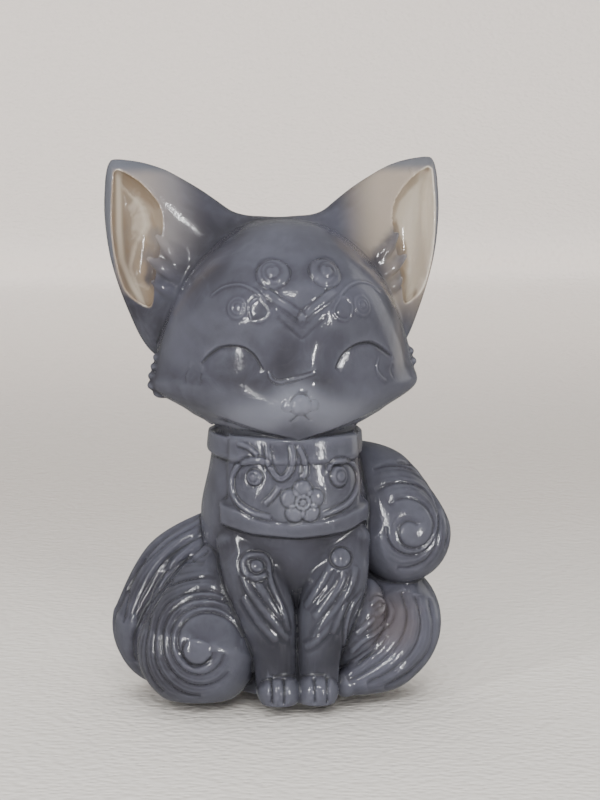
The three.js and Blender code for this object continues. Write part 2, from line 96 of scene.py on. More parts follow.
# %% Ears: strips from upper to outer edge [x, z upper, x, z outer, y, thickness]
EAR_SPREADS = (-1.02, 0.965)  # what x is multiplied by, on the left and on the right
EAR_STRIPS = [
    [2.0, 51, 11.5, 37.5, 4.4, 10],
    [4.4, 55.8, 15.6, 40.6, 5, 9.4],
    [7.8, 58.8, 18.0, 45.4, 6, 8.2],
    [11.8, 61.3, 19.8, 51.0, 6.8, 6.6],
    [15.4, 62.7, 20.5, 56.2, 7.4, 5],
    [18.3, 63.2, 20.4, 60.4, 7.8, 3.2],
    [19.6, 63.2, 20.1, 62.3, 8, 1.4],
]
EAR_HOLLOW_STRIPS = [
    [15.0, 46.2, 15.8, 45.8, 3.6, 2],
    [14.6, 50.2, 18.3, 47.8, 4.2, 6.6],
    [13.8, 54.2, 19.5, 52, 4.6, 7.6],
    [14.1, 57.8, 19.8, 56, 5.0, 6.6],
    [16.4, 60.6, 19.6, 59.4, 5.8, 4.2],
    [18.9, 62.1, 19.4, 61.8, 6.6, 1.2],
]

# %% Round bars: stations [x, y, z, radius]
CROWN = [
    [-8.4, 5.8, 56.0, 2.0],
    [-4.3, 5.2, 53.1, 3.7],
    [0, 4.8, 52.6, 3.8],
    [4.3, 5.2, 53.1, 3.7],
    [8.4, 5.8, 56.0, 2.0],
]
LEG = [
    [6.2, -6.0, 18.6, 3.0],
    [5.0, -7.5, 14.6, 3.7],
    [3.6, -8.6, 10.2, 3.5],
    [2.75, -9.2, 6.2, 2.7],
    [2.5, -9.4, 1.5, 2.4],
]
LEG_SHIFT = 0.4
PAW = [2.25, -10.2, 1.4]
PAW_RADII = [2.6, 3.0, 2.5]
TAIL_LOW_LEFT = [[-7.2, -1.5, 18, 1.6], [-8.8, -3.2, 13, 4.8], [-10.9, -5.1, 5.9, 7.4]]
TAIL_BACK_LEFT = [[-7.6, 3, 20.0, 1.8], [-11.3, 3.4, 14.0, 5.7], [-13.0, 3.5, 7.0, 7.7]]
TAIL_HIGH_RIGHT = [[7.2, 4.5, 27.8, 1.8], [11.2, 2, 24.2, 4.9], [14.1, -1, 18.4, 6]]
TAIL_LOW_RIGHT = [
    [8, 4, 15, 3.2],
    [13.4, 0.5, 8.6, 5.5],
    [11.6, -4.5, 4.2, 4.4],
    [6.4, -8.2, 1.6, 1.6],
]
TAIL_BACK_MIDDLE = [[1, 6, 3, 4.5], [-1, 9.5, 9, 6], [-2, 9.5, 17, 5.4], [-2, 7, 24, 2.6]]
TAIL_BACK_RIGHT = [[4, 5, 17, 2.4], [8, 7.6, 12, 5.2], [9.6, 8, 6.5, 6.4]]

# %% Haunch, ear tufts and cheek fluff
HAUNCH = [8.0, -5.0, 8.2]
HAUNCH_RADII = [3.2, 4.8, 5.8]
HAUNCH_LEAN = 0.3  # radians
EAR_TUFTS = [  # from root to tip, on an ear of spread 1
    [[11.8, 51.2], [14.6, 54.2]],
    [[12.4, 49.6], [15.6, 51.6]],
    [[13.2, 47.9], [15.1, 48.8]],
]
TUFT_LINES = [[[spread * x, z] for x, z in tuft] for spread in EAR_SPREADS for tuft in EAR_TUFTS]
TUFT_RADII = [0.95, 0.85, 0.35]  # at its root, its middle and its tip
TUFT_RISE = [0.3, 0.7, 2.0]  # how far behind the ear's front its spine lies there
CHEEK_FLUFF = [
    [-14.7, 0.2, 40.1], [-15.0, 0.2, 39.0], [-15.3, 0.1, 37.9], [-15.4, 0, 36.8], [-14.7, 0, 35.9],
    [14.7, 0.4, 40.4], [15.0, 0.3, 39.2],
]
FLUFF_RADII = [1.1, 1.3, 0.62]

# %% [markdown]
# ## Making a closed form
# Every form starts as the same thing, a ball from `create_uvsphere`, because a ball is closed and
# has no seam. Each of its points is then moved to where a table puts it, by how far up the ball
# it is and where it is around. Lofting through circles and capping the ends would work too, but
# a ball needs no caps.


# %% Smooth rows, and a ball reshaped by a table
def smooth_row(rows, t):
    """One row at t, from 0 to 1, on a smooth curve through a table of rows."""
    rows = np.asarray(rows, float)
    place = t * (len(rows) - 1)
    i = min(int(place), len(rows) - 2)
    a, b, c, d = (rows[min(max(k, 0), len(rows) - 1)] for k in (i - 1, i, i + 1, i + 2))
    f = place - i
    return b + 0.5 * f * (c - a + f * (2 * a - 5 * b + 4 * c - d + f * (3 * (b - c) + d - a)))


def shaped_ball(shape, around, down):
    """A ball with each point moved to shape(share of the way up, angle, is it a pole)."""
    form = bmesh.new()
    bmesh.ops.create_uvsphere(form, u_segments=around, v_segments=down, radius=1)
    for vert in form.verts:
        share = math.acos(max(-1, min(1, -vert.co.z))) / math.pi
        pole = share * down < 0.5 or share * down > down - 0.5
        vert.co = shape(share, math.atan2(vert.co.y, vert.co.x), pole)
    bmesh.ops.recalc_face_normals(form, faces=form.faces)
    if form.calc_volume(signed=True) < 0:
        bmesh.ops.reverse_faces(form, faces=form.faces)
    return form


# %% The four kinds of form
def level_form(levels, around=72, down=64):
    """A form of horizontal levels, as the head and the trunk are."""

    def shape(share, angle, pole):
        t = min(max((share * down - 1) / (down - 2), 0), 1)
        z, width, front, widest, back, square = smooth_row(levels, t)
        if pole:
            return Vector((0, (front + back) / 2, z))
        waves = (math.cos(angle), math.sin(angle))
        across, along = (math.copysign(abs(wave) ** (2 / square), wave) for wave in waves)
        depth = back - widest if along > 0 else widest - front
        return Vector((across * width, widest + along * depth, z))

    return shaped_ball(shape, around, down)


def leaf_form(strips, spread, around=56, down=56):
    """An ear or its hollow: strips that run from its upper edge to its outer edge."""

    def shape(share, angle, pole):
        t = min(max((share * down - 1) / (down - 2), 0), 1)
        x_upper, z_upper, x_outer, z_outer, y, thickness = smooth_row(strips, t)
        across = 0.5 if pole else 0.5 - 0.5 * math.cos(angle)
        proud = 0 if pole else 0.5 * thickness * math.sin(angle)
        x = x_upper + across * (x_outer - x_upper)
        return Vector((spread * x, y + proud, z_upper + across * (z_outer - z_upper)))

    return shaped_ball(shape, around, down)


END_SHARE = 0.16  # how much of a bar's ball goes into each of its round ends
NUDGE = 0.01  # how far to look to both sides for the way a bar heads


def bar_form(stations, around=56, down=72, locks=0, groove=0.0, twist=0.0, depth=BACK):
    """A round bar through stations, with round ends. Locks of fur run along it, twisting."""

    def shape(share, angle, pole):
        t = min(max((share - END_SHARE) / (1 - 2 * END_SHARE), 0), 1)
        x, y, z, radius = (float(value) for value in smooth_row(stations, t))
        before = Vector(smooth_row(stations, max(t - NUDGE, 0))[:3])
        heading = (Vector(smooth_row(stations, min(t + NUDGE, 1))[:3]) - before).normalized()
        centre = Vector((x, y, z))
        if share < END_SHARE or share > 1 - END_SHARE:
            turn = min(share, 1 - share) / END_SHARE * math.pi / 2
            centre += heading * radius * math.cos(turn) * (-1 if share < 0.5 else 1)
            radius *= math.sin(turn)
        if locks:
            bandwise = abs(math.sin(0.5 * locks * (angle + twist * t)))
            radius *= 1 - groove * (1 - bandwise) ** 2
        side = heading.cross(depth).normalized()
        thick = side.cross(heading)
        return centre + radius * (math.cos(angle) * side + math.sin(angle) * thick)

    return shaped_ball(shape, around, down)


def egg_form(place, radii, lean=0.0, around=48, down=32):
    """A ball squeezed to three radii, leaned about Y and moved."""
    form = bmesh.new()
    bmesh.ops.create_uvsphere(form, u_segments=around, v_segments=down, radius=1)
    turn = Matrix.Rotation(lean, 4, "Y") @ Matrix.Diagonal((*radii, 1))
    bmesh.ops.transform(form, matrix=Matrix.Translation(place) @ turn, verts=form.verts)
    return form


# %% [markdown]
# ## One skin over all the forms
# The ears are hollowed first, with a Boolean, because that is a cut with a clear edge. Then all
# the forms go into one mesh, and a voxel Remesh lays one even skin over them, as if they were one
# stone. A short Smooth after it rounds the creases, which is what polishing does.


# %% Helpers: a mesh from a form, and a mesh with modifiers applied
def mesh_of(form, name):
    mesh = bpy.data.meshes.new(name)
    form.to_mesh(mesh)
    form.free()
    return mesh


def applied(mesh, *modifiers):
    """A new mesh: this one with modifiers applied, each given as (type, its settings)."""
    holder = bpy.data.objects.new("holder", mesh)
    bpy.context.scene.collection.objects.link(holder)
    for kind, settings in modifiers:
        modifier = holder.modifiers.new(kind, kind)
        for key, value in settings.items():
            setattr(modifier, key, value)
    graph = bpy.context.evaluated_depsgraph_get()
    made = bpy.data.meshes.new_from_object(holder.evaluated_get(graph))
    bpy.data.objects.remove(holder)
    return made


def hollowed(outer, inner):
    """The outer form with the inner one cut out of it."""
    tool = bpy.data.objects.new("hollow_tool", mesh_of(inner, "hollow"))
    bpy.context.scene.collection.objects.link(tool)
    settings = {"operation": "DIFFERENCE", "solver": "EXACT", "object": tool}
    made = applied(mesh_of(outer, "ear"), ("BOOLEAN", settings))
    bpy.data.objects.remove(tool)
    return made


# %% Fuse the forms
LOCKED = {"locks": 9, "groove": 0.11}  # the tails behind have locks in their form already

ears = [
    hollowed(leaf_form(EAR_STRIPS, spread), leaf_form(EAR_HOLLOW_STRIPS, spread))
    for spread in EAR_SPREADS
]
forms = [
    level_form(HEAD_LEVELS, 96, 80),
    level_form(BODY_LEVELS),
    level_form(COLLAR_LEVELS, 72, 12),
    bar_form(CROWN, depth=UP),
    bar_form(TAIL_LOW_LEFT),
    bar_form(TAIL_HIGH_RIGHT),
    bar_form(TAIL_LOW_RIGHT),
    bar_form(TAIL_BACK_LEFT, twist=0.3, **LOCKED),
    bar_form(TAIL_BACK_MIDDLE, twist=0.5, depth=RIGHT, **LOCKED),
    bar_form(TAIL_BACK_RIGHT, twist=-0.5, **LOCKED),
    egg_form(HAUNCH, HAUNCH_RADII, HAUNCH_LEAN),
]
for side in (-1, 1):
    forms.append(bar_form([[LEG_SHIFT + side * x, y, z, r] for x, y, z, r in LEG]))
    forms.append(egg_form([LEG_SHIFT + side * PAW[0], *PAW[1:]], PAW_RADII))
forms += [egg_form(place, FLUFF_RADII, around=24, down=16) for place in CHEEK_FLUFF]

fused = bmesh.new()
for mesh in [*ears, *(mesh_of(form, "form") for form in forms)]:
    fused.from_mesh(mesh)
print("faces of the big forms:", len(fused.faces))

# %% Ear tufts: short bars that start on the front of the ear, where a ray meets it
rough_tree = BVHTree.FromBMesh(fused)
for root, tip in TUFT_LINES:
    front = rough_tree.ray_cast(Vector((root[0], -REACH, root[1])), BACK)[0].y
    spine = zip((root, np.mean((root, tip), axis=0), tip), TUFT_RISE, TUFT_RADII)
    stations = [[x, front + rise, z, radius] for (x, z), rise, radius in spine]
    fused.from_mesh(mesh_of(bar_form(stations, 20, 24), "tuft"))
print("faces before the remesh:", len(fused.faces))

# %% One skin, evened out
VOXEL = 0.17
REMESH = ("REMESH", {"mode": "VOXEL", "voxel_size": VOXEL, "adaptivity": 0.0})
SMOOTH = ("SMOOTH", {"factor": 0.5, "iterations": 6})
skin = applied(mesh_of(fused, "fused"), REMESH, SMOOTH)
print("points on the skin:", len(skin.vertices))


# %% [markdown]
# ## Carving into the skin
# A carver draws a line on the stone and follows it with a burr. The same is done here: a line is
# drawn from the front as points [x, z], laid on the skin with rays, and every point of the skin
# near it is pushed in or out along its own normal, by a profile that depends on how far off the
# line it lies. Cutting real geometry this fine with Booleans would be slow and would leave ragged
# edges.


# %% The skin as arrays
def read_vectors(source, key):
    """A vector of every point of a mesh, as rows of one array."""
    values = np.zeros(len(source) * 3, np.float32)
    source.foreach_get(key, values)
    return values.reshape(-1, 3).astype(float)


def read_edges(mesh):
    """The numbers of the two points at the ends of every edge."""
    ends = np.zeros(len(mesh.edges) * 2, np.int32)
    mesh.edges.foreach_get("vertices", ends)
    return ends.reshape(-1, 2)


def ray_tree(mesh, points):
    """A tree that rays can be cast at."""
    faces = [tuple(face.vertices) for face in mesh.polygons]
    return BVHTree.FromPolygons([tuple(point) for point in points], faces)


def blurred(values, ends, times, share=1.0):
    """Values at the points, averaged with their neighbours' again and again."""
    values = values.copy()
    valence = np.bincount(ends.ravel(), minlength=len(values))[:, None]
    for _ in range(times):
        total = np.zeros_like(values)
        for column in range(values.shape[1]):
            for a, b in ((0, 1), (1, 0)):
                total[:, column] += np.bincount(
                    ends[:, a], weights=values[ends[:, b], column], minlength=len(values)
                )
        values += 0.5 * share * (total / valence - values)
    return values


# %% The stone: where its points are, and how they are pushed
LINE_SPACING = 0.12  # how far apart the rays fall that lay a line on the skin


class Stone:
    """The skin's points and normals, and how to push them."""

    def __init__(self, mesh):
        self.mesh = mesh
        self.refresh()

    def refresh(self):
        self.mesh.update()
        self.points = read_vectors(self.mesh.vertices, "co")
        self.normals = read_vectors(self.mesh.vertex_normals, "vector")
        self.tree = ray_tree(self.mesh, self.points)
        self.push = np.zeros(len(self.points))

    def keep(self, points):
        """Puts the points where they are told to be."""
        self.mesh.vertices.foreach_set("co", points.astype(np.float32).ravel())
        self.refresh()

    def soften(self, share, times):
        """Evens the skin out where share is above 0, more with every time."""
        self.keep(blurred(self.points, read_edges(self.mesh), times, share[:, None]))

    def apply(self):
        """Moves every point by what was asked of it, and starts again from there."""
        self.keep(self.points + self.normals * self.push[:, None])

    def lay(self, line):
        """Points and normals along a line [x, z] drawn from the front, where rays meet the skin."""
        rough_length = sum(math.dist(a, b) for a, b in zip(line, line[1:]))
        steps = max(int(rough_length / LINE_SPACING), 2)
        hits = []
        for i in range(steps + 1):
            x, z = smooth_row(line, i / steps)
            place, normal, _, _ = self.tree.ray_cast(Vector((x, -REACH, z)), BACK)
            if place is not None:
                hits.append((*place, *normal))
        hits = np.array(hits)
        return hits[:, :3], hits[:, 3:]

    def near(self, line, reach):
        """The skin's points within reach of a line: number, distance, side and share along."""
        places, facing = self.lay(line)
        low, high = places.min(0) - reach, places.max(0) + reach
        found = np.nonzero(((self.points > low) & (self.points < high)).all(1))[0]
        nearest, distance = np.zeros(len(found), int), np.full(len(found), np.inf)
        for k, place in enumerate(places):
            off = np.linalg.norm(self.points[found] - place, axis=1)
            closer = off < distance
            nearest[closer], distance[closer] = k, off[closer]
        agrees = (self.normals[found] * facing[nearest]).sum(1) > 0.1
        keep = (distance < reach) & agrees
        found, nearest, distance = found[keep], nearest[keep], distance[keep]
        tangent = np.gradient(places, axis=0)
        sideways = np.cross(tangent, facing)[nearest]
        side = np.sign(((self.points[found] - places[nearest]) * sideways).sum(1))
        return found, distance, side, nearest / (len(places) - 1)


# %% Soft masks, from 0 to 1
def ramp(values, start, end):
    """0 up to start, 1 from end on, and even between. End may be the lower of the two."""
    return np.clip((values - start) / (end - start), 0, 1)


def peak(values, middle, reach):
    """1 at the middle, falling away smoothly on both sides."""
    return np.exp(-(((values - middle) / reach) ** 2))


def spot(x, z, middle, reach, power=2):
    """1 at the middle [x, z] of a soft spot seen from the front, and 0 well outside its reach."""
    across, along = (x - middle[0]) / reach[0], (z - middle[1]) / reach[1]
    return np.exp(-(across**power) - along**power)


def from_ear_join(x, z):
    """How far outside the slanting line a point is, along which an ear grows out of the head."""
    return np.abs(x) - 5.5 - 0.75 * (55 - z)


# %% Soften the joins of crown, chest and ears
SOFTENING_TIMES = 90
stone = Stone(skin)
x, y, z = stone.points.T
crown_blend = ramp(z, 48, 52) * ramp(np.abs(x), 13.5, 11.5)
chest_blend = np.exp(-(((z - 17.5) / 3.2) ** 2) - ((x - LEG_SHIFT) / 6.5) ** 4) * (y < -4)
ear_blend = peak(from_ear_join(x, z), 0, 1.8) * ramp(z, 42, 45)
softening = np.max((crown_blend, chest_blend, ear_blend), axis=0)
stone.soften(softening, SOFTENING_TIMES)
print("points softened:", (softening > 0.1).sum())


# %% Lines made from other lines
def mirrored(line, middle):
    """A line's mirror image about an upright line at x = middle."""
    return [[2 * middle - x, z] for x, z in line]


def on_ring(middle, radius, angle):
    """The place [x, z] at an angle on a ring about a middle."""
    return [middle[0] + radius * math.cos(angle), middle[1] + radius * math.sin(angle)]


def between(first, last, count, samples=12):
    """Lines evenly spaced from the first to the last one, both included."""
    steps = [i / samples for i in range(samples + 1)]
    pairs = [(smooth_row(first, t), smooth_row(last, t)) for t in steps]
    shares = np.linspace(0, 1, count)
    return [[list((1 - share) * a + share * b) for a, b in pairs] for share in shares]


def curled(middle, locks, count, steps=24):
    """Locks that curl about a middle, outermost first. Each row of the table is one lock:
    start angle, start radius, radius halfway, end angle, end radius, in degrees and mm."""
    lines = []
    for share in np.linspace(0, 1, count):
        start, start_radius, half_radius, end, end_radius = smooth_row(locks, share)
        line = []
        for i in range(steps + 1):
            angle = math.radians(start + (end - start) * i / steps)
            radius = smooth_row([[start_radius], [half_radius], [end_radius]], i / steps)[0]
            line.append(on_ring(middle, radius, angle))
        lines.append(line)
    return lines


# %% Tool profiles
def ends_fade(share, fade=0.12):
    """Fades a cut out at both ends of its line."""
    return np.sqrt(np.clip(np.minimum(share, 1 - share) / fade, 0, 1))


def cut_grooves(lines, depth, width, fade=0.12):
    """Sharp grooves with round bands between them, as a burr leaves between locks of fur."""
    deepest = np.zeros(len(stone.points))
    for line in lines:
        found, distance, _, share = stone.near(line, 4 * width)
        cut = depth * np.exp(-distance / width) * ends_fade(share, fade)
        deepest[found] = np.maximum(deepest[found], cut)
    stone.push -= deepest


def raise_bands(lines, height, half_width, edge=0.14, split=0.0, fade=0.1):
    """Raised bands with an incised line along each side, and one along the middle if split."""
    highest = np.zeros(len(stone.points))
    lowest = np.zeros(len(stone.points))
    for line in lines:
        found, distance, _, share = stone.near(line, half_width + 4 * edge)
        fading = ends_fade(share, fade)
        band = 1 / (1 + np.exp((distance - half_width) / (0.35 * edge)))
        middle = split * peak(distance, 0, 0.9 * edge)
        highest[found] = np.maximum(highest[found], (height - middle) * band * fading)
        beside = 0.5 * height * peak(distance, half_width + edge, edge) * fading
        lowest[found] = np.maximum(lowest[found], beside)
    stone.push += np.where(highest > 0.15 * height, highest, highest - lowest)


def raise_boss(place, radius, height, rings=(), ring_depth=0.12, ring_width=0.12):
    """A round boss with ring grooves cut into it. Its place [x, z] is drawn from the front."""
    centre, _ = stone.lay([place, [place[0] + 0.01, place[1]]])
    away = np.linalg.norm(stone.points - centre[0], axis=1)
    dome = np.sqrt(np.clip(1 - (away / radius) ** 2, 0, 1))
    stone.push += height * dome
    for ring in rings:
        stone.push -= ring_depth * peak(away, ring, ring_width)


def swell(place, reach, height):
    """A soft swelling of the front, or a dip if its height is negative."""
    x, y, z = stone.points.T
    in_front = (y < 0) & (stone.normals[:, 1] < 0.3)
    stone.push += np.where(in_front, height * spot(x, z, place, reach), 0)


# %% [markdown]
# ## The face
# The fox sleeps: each eye is one crease under the brow, with the lid as a soft bulge below it.
# The muzzle is a low swelling with a little nose, and a dip parts it from the forehead.

# %% Muzzle, nose and lids
EYE_CREASES = [
    [[-10.8, 40.3], [-9.8, 41.6], [-8.5, 42.5], [-6.5, 42.6], [-5.0, 41.7], [-3.9, 39.9]],
    [[4.6, 39.9], [5.6, 41.6], [7.3, 42.6], [9.1, 42.7], [10.6, 41.9], [12.0, 40.7]],
]
LIDS = [[-7.3, 39.6], [8.0, 39.8]]
NOSE = [0.3, 36.0]
NOSTRILS = [[-1.3, 35.9], [1.9, 35.9]]
FACE_SWELLS = [  # (middle, reach, height), and a height below 0 is a dip
    ([0.1, 34.8], [8.2, 3.0], 1.15),  # the muzzle
    (NOSE, [2.0, 1.3], 0.4),
    ([-0.4, 38.6], [4.6, 0.9], -0.18),  # where the muzzle parts from the forehead
    ([1.3, 40.0], [1.9, 3.3], 0.65),  # the bridge of the nose
    ([-10.5, 36.6], [3.4, 1.6], 0.25),  # the cheeks
    ([10.5, 36.6], [3.4, 1.6], 0.25),
]
for middle, reach, height in FACE_SWELLS:
    swell(middle, reach, height)

# %% The undercut below the jaw, and a shallow socket round each lid
JAW_MIDDLE = [0.4, 32.0]
JAW_RISE = 0.27
UNDERCUT = 0.8
SOCKET_RISE = 0.8
x, y, z = stone.points.T
jaw_edge = JAW_MIDDLE[1] + JAW_RISE * np.abs(x - JAW_MIDDLE[0])
below_jaw = ramp(jaw_edge - z, 0, 1.2) * (y < 0) * (stone.normals[:, 1] < 0.2)
away_from_collar = ramp(z, 31.2, 32.0) * ramp(np.abs(x), 11, 8)
stone.push -= UNDERCUT * below_jaw * away_from_collar
for place in LIDS:
    swell([place[0], place[1] + SOCKET_RISE], [3.9, 2.2], -0.22)
stone.apply()

# %% Creases of the closed eyes: soft on one side, sharp on the other
CREASE_DEPTH = 0.38
SOFT_SIDE = 0.7
SHARP_SIDE = 0.17
for crease, place in zip(EYE_CREASES, LIDS):
    found, distance, side, share = stone.near(crease, 3.0)
    profile = np.where(side > 0, np.exp(-distance / SOFT_SIDE), peak(distance, 0, SHARP_SIDE))
    stone.push[found] -= CREASE_DEPTH * ends_fade(share, 0.2) * profile
    swell(place, [3.1, 1.8], 0.2)
stone.apply()
print("face: y of the tip of the nose", round(float(stone.points[:, 1].min()), 2))

# %% Lines on the forehead, drawn from the front
FACE_MIDDLE = 0.5
WHORL = [-2.6, 51.1]
WHORL_LOCKS = [
    [-70, 1.95, 1.75, -330, 1.6],
    [-60, 1.35, 1.2, -350, 0.9],
    [-50, 0.75, 0.7, -300, 0.35],
]
CHEVRON_BAND = [[-3.7, 49.2], [-1.6, 47.8], [0.1, 46.6], [0.6, 45.8]]
CHEVRON_LINES = [
    [[-3.9, 50.3], [-1.9, 48.6], [-0.1, 47.3], [0.5, 46.6]],
    [[-3.7, 48.2], [-1.8, 46.9], [-0.3, 45.7], [0.5, 45.0]],
    [[-2.4, 46.3], [-1.2, 45.2], [-0.2, 44.3], [0.5, 43.7]],
]
BROW_MIDDLE = 0.6
BROW_RING = [-6.8, 47.2]
BROW_ARC = [[-9.6, 48.3], [-8.1, 49.4], [-6.4, 49.8], [-4.9, 49.3], [-3.9, 48.4]]
BROW_LEAF = [
    [-5.3, 45.9], [-5.5, 47.2], [-5.0, 48.1], [-4.2, 48.3],
    [-3.4, 47.4], [-3.2, 46.6], [-3.9, 45.9], [-4.9, 45.7],
]
MOUTH = [[-0.9, 33.9], [-0.3, 34.5], [0.35, 35.1], [0.9, 34.6], [1.6, 34.0]]
SMILE = [[-3.3, 39.9], [-2.9, 39.0], [-2.1, 38.6], [-0.8, 38.9], [0.7, 39.3], [2.2, 39.8]]
CHEEK_ARC = [[10.2, 40.8], [9.9, 39.7], [10.3, 38.7], [11.2, 37.9]]
LASHES = [
    [[-12.0, 39.8], [-12.5, 38.7], [-12.4, 37.9]],
    [[-10.7, 39.3], [-10.9, 38.7], [-10.7, 38.0]],
    [[12.1, 39.9], [11.9, 39.0], [12.3, 38.1]],
]

# %% Carve them: whorls, chevrons, brows, nose, mouth and lashes
whorl_lines = curled(WHORL, WHORL_LOCKS, 3)
for place in (WHORL, *mirrored([WHORL], FACE_MIDDLE)):
    raise_boss(place, 2.0, 0.5)
    raise_boss(place, 0.8, 0.15)
for line in whorl_lines + [mirrored(line, FACE_MIDDLE) for line in whorl_lines]:
    cut_grooves([line], 0.12, 0.11)
for line in CHEVRON_LINES:
    cut_grooves([line, mirrored(line, FACE_MIDDLE)], 0.12, 0.1)
FACE_BANDS = [  # (lines, height, half width, width of the line beside them)
    ([CHEVRON_BAND], 0.1, 0.45, 0.12),
    ([mirrored(CHEVRON_BAND, FACE_MIDDLE)], 0.1, 0.45, 0.12),
    ([BROW_ARC, mirrored(BROW_ARC, BROW_MIDDLE)], 0.1, 0.16, 0.1),
    ([BROW_LEAF, mirrored(BROW_LEAF, BROW_MIDDLE)], 0.08, 0.12, 0.1),
    ([SMILE], 0.14, 0.12, 0.12),
    ([CHEEK_ARC], 0.1, 0.12, 0.12),
]
for lines, height, half_width, edge in FACE_BANDS:
    raise_bands(lines, height, half_width, edge)
for place in (BROW_RING, *mirrored([BROW_RING], BROW_MIDDLE)):
    raise_boss(place, 1.5, 0.14, rings=(0.45, 0.9, 1.4), ring_depth=0.07, ring_width=0.1)
raise_boss(NOSE, 1.25, 0.4)
for place in NOSTRILS:
    raise_boss(place, 0.7, 0.14, rings=(0.7,), ring_depth=0.06, ring_width=0.1)
cut_grooves([MOUTH], 0.25, 0.14)
cut_grooves(LASHES, 0.14, 0.12, fade=0.3)
print("face: deepest cut", round(float(-stone.push.min()), 2))

# %% [markdown]
# ## The bib and the collar
# The bib is a thin plate that lies on the chest, with scrolls, a hanging drop and a flower. Its
# plate is raised by the signed distance to its outline, which gives a crisp edge all round.


# %% Plates raised inside an outline
def off_segment(points, a, b):
    """How far points [x, z] lie from the straight line between a and b."""
    along = b - a
    share = np.clip((points - a) @ along / (along @ along), 0, 1)
    return np.linalg.norm(points - a - share[:, None] * along, axis=1)


def raise_plate(outline, height, edge):
    """Raises the front inside a closed outline [x, z]."""
    x, y, z = stone.points.T
    low, high = np.min(outline, axis=0) - 1, np.max(outline, axis=0) + 1
    inside_box = (x > low[0]) & (x < high[0]) & (z > low[1]) & (z < high[1]) & (y < -1)
    found = np.nonzero(inside_box & (stone.normals[:, 1] < 0.1))[0]
    points = stone.points[found][:, [0, 2]]
    distance = np.full(len(found), np.inf)
    inside = np.zeros(len(found), bool)
    for a, b in zip(outline, outline[1:] + outline[:1]):
        a, b = np.array(a, float), np.array(b, float)
        distance = np.minimum(distance, off_segment(points, a, b))
        crosses = (a[1] > points[:, 1]) != (b[1] > points[:, 1])
        with np.errstate(divide="ignore", invalid="ignore"):
            at = a[0] + (points[:, 1] - a[1]) / (b[1] - a[1]) * (b[0] - a[0])
        inside ^= crosses & (points[:, 0] < at)
    signed = np.where(inside, distance, -distance)
    stone.push[found] += height / (1 + np.exp(-signed / (0.4 * edge)))


# %% Bib, hem, scrolls, drop and flower
BIB_OUTLINE = [
    [-7.3, 31.6], [-7.4, 27.8], [-7.5, 24.4], [-8.3, 23.5], [-8.2, 21.2], [-5.2, 20.4], [0.5, 19.9],
    [6.2, 20.3], [9.0, 21.0], [9.1, 23.2], [8.3, 24.2], [8.1, 27.8], [7.8, 31.6],
]
HEM_OUTLINE = BIB_OUTLINE[3:10] + [
    [6.1, 22.4], [2.7, 21.8], [-1.2, 21.6], [-3.9, 22.1], [-6.3, 23.1],
]
SCROLLS = [
    [[-3.0, 27.9], [-3.3, 28.9], [-4.6, 29.1], [-6.0, 28.5], [-6.8, 27.1], [-7.0, 25.4],
     [-6.4, 23.9], [-4.8, 22.9], [-2.8, 22.4]],
    [[3.9, 27.6], [4.2, 28.5], [5.4, 28.8], [6.8, 28.2], [7.6, 26.9], [7.5, 25.2],
     [6.6, 23.9], [5.0, 23.1], [3.2, 22.6]],
]
DROP = [
    [-3.2, 31.0], [-3.0, 28.9], [-2.4, 27.5], [-1.6, 27.0],
    [-0.7, 27.8], [-0.3, 29.4], [-0.5, 31.0],
]
LEAVES = [
    [[-6.4, 30.9], [-5.2, 30.5], [-4.2, 29.6]],
    [[0.3, 30.8], [1.0, 29.2], [1.2, 27.8], [0.7, 27.0]],
    [[-3.6, 24.0], [-2.6, 25.0], [-1.9, 26.1]],
]
BOSSES = [[-4.6, 27.0, 0.95], [5.2, 26.9, 1.25]]  # [x, z, radius]
FLOWER = [0.8, 24.2]
PETALS = 5
PETAL_OUT = 1.5

# %% Carve the bib
for outline in (BIB_OUTLINE, HEM_OUTLINE):
    raise_plate(outline, height=0.3, edge=0.22)
raise_bands(SCROLLS, 0.26, 0.28)
raise_bands([DROP], 0.22, 0.26, split=0.1)
raise_bands(LEAVES, 0.2, 0.26)
for x, z, radius in BOSSES:
    raise_boss([x, z], radius, 0.5, rings=(radius * 0.55, radius * 1.05))
for k in range(PETALS):
    petal = on_ring(FLOWER, PETAL_OUT, math.pi / 2 + 2 * math.pi * k / PETALS)
    raise_boss(petal, 1.15, 0.42, rings=(1.12,))
raise_boss(FLOWER, 0.95, 0.35, rings=(0.5, 0.95), ring_depth=0.2)
print("bib: highest relief", round(float(stone.push.max()), 2))
stone.apply()

# %% [markdown]
# ## Legs, haunch and tails
# The fur is drawn as flames on the legs and as long locks that curl into a spiral on the tails.
# A sharp groove with a round band on each side reads as a lock, so grooves alone do all of it.
# Between every two deep grooves run two or three shallow ones, as on the real carving.

# %% Legs and haunch
LEG_CURL = [
    [-3.2, 15.7], [-3.9, 15.4], [-4.9, 15.3], [-5.8, 15.9], [-6.1, 16.9], [-5.4, 17.7],
    [-4.0, 17.7], [-3.1, 16.9], [-3.0, 15.3], [-2.4, 13.4], [-1.4, 11.2], [-0.8, 8.8],
]
LEG_FLAMES = [
    [[-6.2, 16.0], [-5.6, 14.1], [-4.3, 12.2], [-2.6, 10.1], [-0.8, 7.7]],
    [[-4.8, 15.0], [-4.1, 13.9], [-3.0, 12.3], [-1.4, 10.3]],
    [[-6.2, 13.1], [-5.2, 11.3], [-3.8, 9.4], [-2.2, 7.7]],
    [[7.3, 16.2], [6.7, 14.3], [5.3, 12.2], [3.5, 10.0], [1.9, 7.7]],
    [[5.9, 15.6], [5.0, 13.9], [3.6, 12.2], [2.1, 10.4]],
    [[4.3, 16.4], [3.3, 14.8], [2.0, 12.8], [1.2, 11.5]],
    [[4.5, 10.9], [3.6, 9.2], [2.4, 7.8], [1.1, 6.7]],
    [[6.0, 12.4], [5.0, 10.4], [4.2, 8.5]],
]
